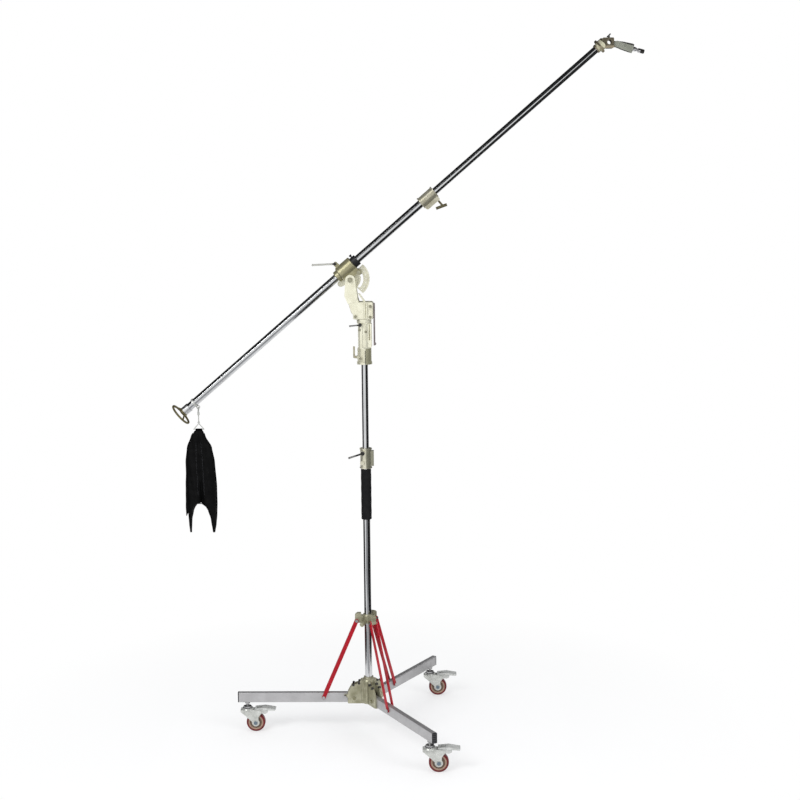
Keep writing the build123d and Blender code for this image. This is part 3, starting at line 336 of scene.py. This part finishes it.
# Painted shade: the tip darkens the socket's right half, the side turned from the light
wear_material("head_socket", surface(
    "Socket casting", (0.72, 0.70, 0.55), (0.60, 0.58, 0.43), 0.5, 0.30, 0.14, 1800, 34, 0.05, 0.5,
    (0.90, 0.88, 0.78), tips=[(RIGHT_HALF_SHADE_CENTRE, 0.5, (0.34, 0.33, 0.22), 0.5)]))
for number in (1, 2, 3):
    wear_material(f"brake_pedal_{number}", surface(
        f"Pedal zinc {number}", (0.62, 0.63, 0.61), (0.46, 0.47, 0.45), 0.25, 0.32, 0.14, 1200, 60, 0.02, 0.4,
        (0.9, 0.9, 0.9)))
wear_material("handwheel", surface(
    "Handwheel casting", (0.18, 0.155, 0.07), (0.10, 0.085, 0.04), 0.5, 0.32, 0.1, 1500, 40, 0.06, 0.5,
    (0.6, 0.57, 0.4), tips=[((-0.6799, 0.0, 1.3192), 0.036, BRIGHT, 1.0)]))
LEFT_KNOB, FERRULE, BELOW_BORE = (0.8797, 0.0, 2.6936), (0.8992, 0.0, 2.6700), (0.94, 0.0, 2.170)
wear_material("end_receiver", surface(
    "End casting", (0.10, 0.085, 0.055), (0.06, 0.05, 0.03), 0.4, 0.32, 0.1, 1800, 34, 0.05, 0.5, (0.5, 0.46, 0.33),
    tips=[(BELOW_BORE, 0.5, (0.26, 0.22, 0.15), 0.4), (FERRULE, 0.0235, CREAM, 0.5), (LEFT_KNOB, 0.015, BLACK, 0.3)]))
wear_material("end_knuckle", surface(
    "Knuckle casting", (0.30, 0.31, 0.265), (0.22, 0.23, 0.19), 0.5, 0.3, 0.1, 1800, 34, 0.05, 0.5,
    (0.8, 0.8, 0.75), tips=[((1.1366, 0.0, 3.1547), 0.5, BLACK, 0.3)]))
wear_material("spigot", surface(
    "Spigot steel", (0.60, 0.60, 0.61), (0.48, 0.48, 0.49), 1.0, 0.12, 0.05, 1500, 60, 0.02, 0.1,
    tips=[((1.0560, 0.0, 2.6490), 0.0125, BLACK, 0.3), ((1.0200, 0.0, 2.6640), 0.0105, BLACK, 0.3)]))
for number in (1, 2, 3):
    low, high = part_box(f"caster_core_{number}")
    axle = tuple((a + b) / 2 for a, b in zip(low, high))
    wear_material(f"caster_core_{number}", surface(
        f"Wheel core {number}", (0.36, 0.24, 0.17), (0.28, 0.18, 0.13), 0.0, 0.42, 0.1, 1200, 60, 0.04, 0.1,
        tips=[(axle, 0.0245, (0.13, 0.085, 0.055), 0.0)]))
    fork_low, fork_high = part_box(f"caster_fork_{number}")
    bolt_ends = [((axle[0], side, axle[2]), 0.0095, (0.16, 0.20, 0.24), 0.9)
                 for side in (fork_low[1] - 0.003, fork_high[1] + 0.003)]
    wear_material(f"caster_fork_{number}", surface(
        f"Fork zinc {number}", (0.60, 0.61, 0.58), (0.46, 0.47, 0.44), 0.5, 0.30, 0.14, 1200, 60, 0.02, 0.3,
        (0.85, 0.85, 0.85), tips=bolt_ends))
    cap = surface(f"Leg end plug {number}", (0.014, 0.014, 0.016), (0.008, 0.008, 0.009), 0.0, 0.45, 0.1, 1500, 40,
                  0.06, 0.15, (0.1, 0.1, 0.1), shine=0.15)
    add_ribs(cap, 0.008)
    wear_material(f"leg_cap_{number}", cap)
print("two-tone pieces done")

# %% [markdown]
# ## The sandbag
# A slack saddle bag. Its outline is set by a few widths on each level. Below the arch it
# parts into two lobes, and a soft valley runs up between them.

# %% Helpers for meshes


def piece(name, bm, material, body, smooth=True):
    """Makes the object from a bmesh, gives it a material and lets it ride on a body."""
    mesh = bpy.data.meshes.new(name)
    for face in bm.faces:
        face.smooth = smooth
    bm.to_mesh(mesh)
    bm.free()
    obj = bpy.data.objects.new(name, mesh)
    scene.collection.objects.link(obj)
    obj.data.materials.append(material)
    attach(obj, body)
    return obj


def along(rows, z, column):
    """A value between the rows of a table that is sorted downwards by its first entry."""
    for high, low in zip(rows, rows[1:]):
        if z >= low[0]:
            share = (z - low[0]) / (high[0] - low[0])
            share = share * share * (3 - 2 * share) * 0.5 + share * 0.5
            return low[column] + (high[column] - low[column]) * share
    return rows[-1][column]


# %% [markdown]
# ### The outline of the bag
# A few levels with their widths, the arch between the lobes, and the fold in the top seam.

# %% Bag shape
# Level, left edge, right edge and depth, in millimetres
BAG_LEVELS = [
    (1224, -667, -634, 12), (1200, -681, -627, 20), (1155, -698, -603, 35), (1098, -705, -593, 46),
    (1003, -704, -587, 54), (935, -701, -587, 52), (887, -700, -589, 40), (850, -698, -593, 24), (816, -695, -599, 7),
]
# Level and the edges of the arch between the lobes
ARCH_LEVELS = [(936, -658, -658), (928, -668, -642), (918, -675, -630), (903, -681, -622), (870, -688, -612),
               (816, -691, -605)]
COLUMNS, ROWS = 28, 64


def bag_point(row, column, split):
    """Front surface point in millimetres, and how far it stands from the bag's middle plane."""
    z = 1224 - (1224 - 816) * row / ROWS
    left, right, depth = (along(BAG_LEVELS, z, k) for k in (1, 2, 3))
    half = COLUMNS // 2
    middle = (left + right) / 2
    inner = (middle, middle) if z > ARCH_LEVELS[0][0] else (along(ARCH_LEVELS, z, 1), along(ARCH_LEVELS, z, 2))
    if column < half or (column == half and split == 0):
        share = column / half
        x = left + (inner[0] - left) * share
    else:
        share = (column - half) / half
        x = inner[1] + (right - inner[1]) * share
    lobe = max(0.0, 1 - abs(2 * share - 1) ** 2.4) ** 0.5
    whole = max(0.0, 1 - abs(2 * column / COLUMNS - 1) ** 2.6) ** 0.5
    parted = min(1.0, max(0.0, (1190 - z) / 256)) ** 1.6
    swell = whole * (1 - parted) + lobe * parted
    fold = 1.6 * sin(x * 0.21 + z * 0.035) + 1.2 * sin(z * 0.11 - x * 0.09) + 0.8 * sin(z * 0.23 + x * 0.05)
    gather = max(0.0, (z - 1130) / 94)
    fold += 2.2 * gather * sin(x * 0.55)
    stand = depth / 2 * swell + fold * swell * min(1.0, depth / 30)
    return Vector((x / 1000, 0, z / 1000)), max(0.0, stand) / 1000


def build_bag():
    """Two panels sewn together along the outline."""
    bm = bmesh.new()
    half = COLUMNS // 2
    made = {}

    def vertex(row, column, side, split):
        z = 1224 - (1224 - 816) * row / ROWS
        parted = z <= ARCH_LEVELS[0][0]
        split = split if parted and column == half else 0
        rim = column in (0, COLUMNS) or (parted and column == half)
        key = (row, column, 0 if rim else side, split)
        if key not in made:
            place, stand = bag_point(row, column, split)
            made[key] = bm.verts.new(place + Vector((0, 0 if rim else side * stand, 0)))
        return made[key]

    for row in range(ROWS):
        for column in range(COLUMNS):
            split = 0 if column < half else 1
            for side in (-1, 1):
                corners = [
                    vertex(row, column, side, split), vertex(row, column + 1, side, split),
                    vertex(row + 1, column + 1, side, split), vertex(row + 1, column, side, split),
                ]
                unique = list(dict.fromkeys(corners))
                if side > 0:
                    unique.reverse()
                if len(unique) > 2:
                    bm.faces.new(unique)
    bmesh.ops.holes_fill(bm, edges=[edge for edge in bm.edges if edge.is_boundary], sides=2 * COLUMNS + 4)
    bmesh.ops.recalc_face_normals(bm, faces=bm.faces)
    return bm


bag = piece("sandbag_shell", build_bag(), cloth, "bag")
subdivide = bag.modifiers.new("Smooth", "SUBSURF")
subdivide.levels = subdivide.render_levels = 1
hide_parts("sandbag")
print(len(bag.data.vertices), "bag vertices")

# %% [markdown]
# ## Lobes behind the bag
# The bag is folded over its strap, so a second pair of lobes hangs behind the first and ends
# a little higher. The left one shows beside the front lobe.

# %% Rear lobes
# Level, left edge and right edge, in millimetres
REAR_LEFT = [
    (1120, -704, -668), (1060, -708, -664), (1003, -711, -664), (950, -712, -670), (915, -713, -690), (880, -712, -709),
]
REAR_RIGHT = [
    (1120, -630, -598), (1060, -630, -592), (1003, -632, -590), (950, -628, -590), (915, -616, -592), (884, -603, -595),
]


def build_rear_lobe(rows):
    """A flat padded lobe with a closed top and a narrow tip."""
    bm = bmesh.new()
    levels, turns = 40, 20
    rings = []
    for level in range(levels + 1):
        z = rows[0][0] + (rows[-1][0] - rows[0][0]) * level / levels
        left, right = along(rows, z, 1), along(rows, z, 2)
        fullness = min(1.0, 0.25 + 3 * (levels - level) / levels) * min(1.0, 0.3 + level / 6)
        thick = 8.5 * fullness
        ring = []
        for turn in range(turns):
            angle = 2 * pi * turn / turns
            x = (left + right) / 2 + (right - left) / 2 * cos(angle)
            y = 11.0 + thick * sin(angle) + 0.8 * sin(z * 0.12 + x * 0.2)
            ring.append(bm.verts.new((x / 1000, y / 1000, z / 1000)))
        rings.append(ring)
    for upper, lower in zip(rings, rings[1:]):
        for turn in range(turns):
            after = (turn + 1) % turns
            bm.faces.new((upper[turn], upper[after], lower[after], lower[turn]))
    bm.faces.new(rings[0])
    bm.faces.new(list(reversed(rings[-1])))
    bmesh.ops.recalc_face_normals(bm, faces=bm.faces)
    return bm


for name, rows in (("bag_rear_left", REAR_LEFT), ("bag_rear_right", REAR_RIGHT)):
    lobe = piece(name, build_rear_lobe(rows), cloth, "bag")
    print(name, len(lobe.data.vertices), "vertices")

# %% [markdown]
# ## The foam grip
# A sleeve with soft ends and a slight unevenness, spun about the mast.

# %% Grip


def build_grip():
    """The sleeve's profile, spun once round the mast."""
    bm = bmesh.new()
    low, high, bore, outside = 0.866, 1.066, 0.01432, 0.0205
    profile = [(bore, low)]
    for step in range(7):
        angle = pi / 2 * step / 6
        profile.append((outside - 0.004 + 0.004 * sin(angle), low + 0.004 - 0.004 * cos(angle)))
    for step in range(1, 40):
        z = low + 0.004 + (high - low - 0.008) * step / 40
        profile.append((outside - 0.0003 * (1 - cos(z * 140)), z))
    for step in range(7):
        angle = pi / 2 * step / 6
        profile.append((outside - 0.004 + 0.004 * cos(angle), high - 0.004 + 0.004 * sin(angle)))
    profile.append((bore, high))
    ring = [bm.verts.new((radius, 0, z)) for radius, z in profile]
    edges = [bm.edges.new(pair) for pair in zip(ring, ring[1:] + ring[:1])]
    bmesh.ops.spin(bm, geom=ring + edges, cent=(0, 0, 0), axis=(0, 0, 1), angle=2 * pi, steps=64, use_merge=True)
    bmesh.ops.recalc_face_normals(bm, faces=bm.faces)
    return bm


grip = piece("foam_sleeve", build_grip(), foam, "base")
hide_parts("foam_grip")
print(len(grip.data.vertices), "grip vertices")

# %% [markdown]
# ## Bag trim
# A piped seam follows the outline, two rows of stitches run beside the valley, and a webbing
# loop ties the bag to its ring.

# %% Bag trim


def tube_path(bm, points, radius, sides=8, closed=False):
    """A round tube along points, swept with a steady frame."""
    rings = []
    count = len(points)
    normal = None
    for index, point in enumerate(points):
        before = points[index - 1] if index or closed else point
        after = points[(index + 1) % count] if index < count - 1 or closed else point
        tangent = (after - before).normalized()
        if normal is None:
            normal = tangent.cross(Vector((0, 1, 0.01))).normalized()
        normal = (normal - tangent * normal.dot(tangent)).normalized()
        side = tangent.cross(normal)
        rings.append([
            bm.verts.new(point + (normal * cos(2 * pi * k / sides) + side * sin(2 * pi * k / sides)) * radius)
            for k in range(sides)
        ])
    pairs = list(zip(rings, rings[1:] + rings[:1])) if closed else list(zip(rings, rings[1:]))
    for ring, following in pairs:
        for k in range(sides):
            bm.faces.new((ring[k], ring[(k + 1) % sides], following[(k + 1) % sides], following[k]))
    if not closed:
        bm.faces.new(rings[0])
        bm.faces.new(rings[-1])
    return bm


def bag_outline():
    """Points of the sewn edge, down one side, round the arch and up the other."""
    half = COLUMNS // 2
    left = [bag_point(row, 0, 0)[0] for row in range(2, ROWS + 1)]
    apex = next(row for row in range(ROWS) if 1224 - 408 * row / ROWS <= ARCH_LEVELS[0][0])
    inner_left = [bag_point(row, half, 0)[0] for row in range(ROWS, apex - 1, -1)]
    inner_right = [bag_point(row, half, 1)[0] for row in range(apex, ROWS + 1)]
    right = [bag_point(row, COLUMNS, 0)[0] for row in range(ROWS, 1, -1)]
    return left + inner_left + inner_right + right


piping = piece("bag_piping", tube_path(bmesh.new(), bag_outline(), 0.0018), cloth, "bag")


def build_strap():
    """Webbing folded over the ring's lower bar, with its two tails sewn to the bag."""
    bm = bmesh.new()
    profile = [(-0.0075, 1.206), (-0.0052, 1.219), (-0.0036, 1.2262), (-0.0026, 1.2288), (0, 1.2299),
               (0.0026, 1.2288), (0.0036, 1.2262), (0.0052, 1.219), (0.0075, 1.206)]
    rows = []
    for y, z in profile:
        rows.append([bm.verts.new((x, y, z)) for x in (-0.6635, -0.655, -0.6465, -0.6375)])
    for row, following in zip(rows, rows[1:]):
        for k in range(3):
            bm.faces.new((row[k], row[k + 1], following[k + 1], following[k]))
    bmesh.ops.solidify(bm, geom=bm.faces[:], thickness=0.0011)
    return bm


strap = piece("bag_webbing", build_strap(), cloth, "bag")


def build_stitches():
    """Short threads beside the valley, front and back."""
    bm = bmesh.new()
    half = COLUMNS // 2
    for side in (-1, 1):
        for column in (half - 3, half + 3):
            for row in range(8, 40):
                first, depth = bag_point(row, column, 0)
                second, depth_below = bag_point(row + 1, column, 0)
                start = first + Vector((0, side * (depth + 0.0003), 0))
                end = start.lerp(second + Vector((0, side * (depth_below + 0.0003), 0)), 0.6)
                tube_path(bm, [start, end], 0.0004, 5)
    return bm


thread = surface("Grey thread", (0.09, 0.09, 0.1), (0.06, 0.06, 0.07), 0.0, 0.7, 0.1, 4000, 60, 0.1, 0.0)
stitches = piece("bag_stitches", build_stitches(), thread, "bag")

# %% [markdown]
# ## Small hardware
# Bearing balls under each caster's crown, and thread on the stems.

# %% Balls and threads


def stem_point(number):
    """Place of a caster's stem on the floor, from its CAD node."""
    low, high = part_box(f"caster_tyre_{number}")
    return Vector(((low[0] + high[0]) / 2 - 0.033, (low[1] + high[1]) / 2, 0))


def ring_of_balls(center, radius, ball, count):
    """Small spheres in a level circle."""
    bm = bmesh.new()
    for k in range(count):
        angle = 2 * pi * k / count
        place = center + Vector((radius * cos(angle), radius * sin(angle), 0))
        bmesh.ops.create_uvsphere(bm, u_segments=12, v_segments=8, radius=ball, matrix=Matrix.Translation(place))
    return bm


def helix(center, radius, wire, low, high, pitch):
    """Thread as a thin helix round an upright stem."""
    turns = (high - low) / pitch
    steps = int(turns * 16)
    points = [
        center + Vector((radius * cos(2 * pi * k / 16), radius * sin(2 * pi * k / 16), low + pitch * k / 16))
        for k in range(steps)
    ]
    return tube_path(bmesh.new(), points, wire, 5)


for number in (1, 2, 3):
    at = stem_point(number)
    race = piece(f"ball_race_{number}", ring_of_balls(at + Vector((0, 0, 0.0958)), 0.0185, 0.0024, 20), steel, f"swivel_{number}")
    screw = piece(f"stem_thread_{number}", helix(at, 0.005, 0.0004, 0.1045, 0.1125, 0.0012), steel, f"leg_{number}")
print("small hardware made")

# %% [markdown]
# ## Floor, light and background
# A plain pale floor, and a white background that only the camera sees.

# %% Stage
floor_mesh = bpy.data.meshes.new("Floor")
bm = bmesh.new()
bmesh.ops.create_grid(bm, x_segments=1, y_segments=1, size=30)
bm.to_mesh(floor_mesh)
bm.free()
floor = bpy.data.objects.new("Floor", floor_mesh)
scene.collection.objects.link(floor)


def shows_background(tree):
    """1 for the rays that see the background: from the camera, off metal and through glass."""
    rays = tree.nodes.new("ShaderNodeLightPath")
    seen = math_node(tree, "MAXIMUM", rays.outputs["Is Camera Ray"], rays.outputs["Is Transmission Ray"])
    return math_node(tree, "MAXIMUM", seen, rays.outputs["Is Glossy Ray"])


def floor_material():
    """Pale floor that keeps the shadow near the object and runs out into plain white."""
    material = surface("Pale floor", (0.93, 0.93, 0.93), (0.915, 0.915, 0.915), 0.0, 0.7, 0.05, 300, 2, 0.01, 0.0)
    tree = material.node_tree
    where = tree.nodes.new("ShaderNodeTexCoord").outputs["Object"]
    away = tree.nodes.new("ShaderNodeVectorMath")
    away.operation = "LENGTH"
    tree.links.new(where, away.inputs[0])
    fade = remap(tree, away.outputs["Value"], 0.0, 1.7, 0.3, 1.0)
    white = tree.nodes.new("ShaderNodeEmission")
    mixer = tree.nodes.new("ShaderNodeMixShader")
    tree.links.new(math_node(tree, "MULTIPLY", fade, shows_background(tree)), mixer.inputs["Fac"])
    tree.links.new(tree.nodes["Principled BSDF"].outputs["BSDF"], mixer.inputs[1])
    tree.links.new(white.outputs["Emission"], mixer.inputs[2])
    tree.links.new(mixer.outputs["Shader"], tree.nodes["Material Output"].inputs["Surface"])
    return material


floor.data.materials.append(floor_material())

world = bpy.data.worlds.new("Studio")
scene.world = world
world.use_nodes = True
tree = world.node_tree
background = tree.nodes["Background"]
background.inputs["Strength"].default_value = 1.0
tree.links.new(mix_color(tree, shows_background(tree), (0.75, 0.76, 0.78), (1.0, 1.0, 1.0)), background.inputs["Color"])


def dark_card(name, place, width, height, turn, cover):
    """A flat card beside, above or in front of the set. Only reflections show it."""
    card_mesh = bpy.data.meshes.new(name)
    bm = bmesh.new()
    bmesh.ops.create_grid(bm, x_segments=1, y_segments=1, size=0.5)
    bm.to_mesh(card_mesh)
    bm.free()
    card = bpy.data.objects.new(name, card_mesh)
    card.matrix_world = (Matrix.Translation(place) @ Matrix.Rotation(turn[2], 4, "Z")
                         @ Matrix.Rotation(turn[0], 4, "X") @ Matrix.Diagonal((width, height, 1, 1)))
    scene.collection.objects.link(card)
    card.data.materials.append(cover)
    card.visible_camera = card.visible_diffuse = card.visible_shadow = card.visible_transmission = False
    return card


card_cloth = surface("Card cloth", (0.012, 0.012, 0.012), (0.01, 0.01, 0.01), 0.0, 0.9, 0.05, 900, 10, 0.01, 0.0)
grey_cloth = surface("Grey card", (0.26, 0.26, 0.265), (0.24, 0.24, 0.245), 0.0, 0.9, 0.05, 900, 10, 0.01, 0.0)
mid_cloth = surface("Pale grey card", (0.40, 0.40, 0.405), (0.37, 0.37, 0.375), 0.0, 0.9, 0.05, 900, 10, 0.01, 0.0)
UPRIGHT_X, UPRIGHT_Y, LEVEL = (pi / 2, 0, pi / 2), (pi / 2, 0, 0), (0, 0, 0)
dark_card("Card_left", (-1.5, 0.35, 2.0), 2.3, 4.0, UPRIGHT_X, card_cloth)
dark_card("Card_right", (1.5, -0.75, 2.0), 4.5, 4.0, UPRIGHT_X, card_cloth)
dark_card("Card_back", (0.0, 3.2, 2.2), 2.8, 4.2, UPRIGHT_Y, card_cloth)
dark_card("Card_above", (-2.1, -0.5, 3.3), 6.0, 9.0, LEVEL, card_cloth)
dark_card("Card_floor_far", (0.4, -3.3, 0.004), 3.6, 2.8, LEVEL, grey_cloth)
dark_card("Card_floor_near", (0.0, -1.3, 0.004), 1.6, 1.2, LEVEL, mid_cloth)
dark_card("Card_floor_left", (-1.15, 0.2, 0.005), 0.7, 2.4, LEVEL, card_cloth)
dark_card("Card_floor_right", (1.15, -0.6, 0.006), 0.7, 4.0, LEVEL, card_cloth)


def area_light(name, place, aim, size, power):
    """A square soft light that looks at a point."""
    data = bpy.data.lights.new(name, "AREA")
    data.size = size
    data.energy = power
    light = bpy.data.objects.new(name, data)
    light.location = place
    light.rotation_euler = (Vector(aim) - Vector(place)).to_track_quat("-Z", "Y").to_euler()
    scene.collection.objects.link(light)
    return light


area_light("Key", (-2.5, -3.5, 4.0), (0, 0, 1.2), 2.0, 120)
area_light("Fill", (3.0, -2.5, 2.5), (0, 0, 1.2), 2.0, 50)
print("stage ready")

# %% [markdown]
# ## Camera
# The place and aim were worked out from the legs, the mast and the boom in the photograph.

# %% Camera
YAW, PITCH, ROLL = -0.0218, 0.1451, -0.0096
FOCAL_PIXELS, PICTURE_PIXELS = 1483.7, 800.0
forward = Vector((sin(YAW) * cos(PITCH), cos(YAW) * cos(PITCH), -sin(PITCH)))
right = Vector((cos(YAW), -sin(YAW), 0))
up = right.cross(forward)
right_rolled = right * cos(ROLL) + up * sin(ROLL)
up_rolled = up * cos(ROLL) - right * sin(ROLL)
camera_data = bpy.data.cameras.new("Camera")
camera_data.sensor_width = 36.0
camera_data.lens = FOCAL_PIXELS / PICTURE_PIXELS * camera_data.sensor_width
camera = bpy.data.objects.new("Camera", camera_data)
turn = Matrix((right_rolled, up_rolled, -forward)).transposed().to_4x4()
camera.matrix_world = Matrix.Translation((0.2597, -5.6943, 2.1694)) @ turn
scene.collection.objects.link(camera)
scene.camera = camera
scene.view_settings.view_transform = "Standard"
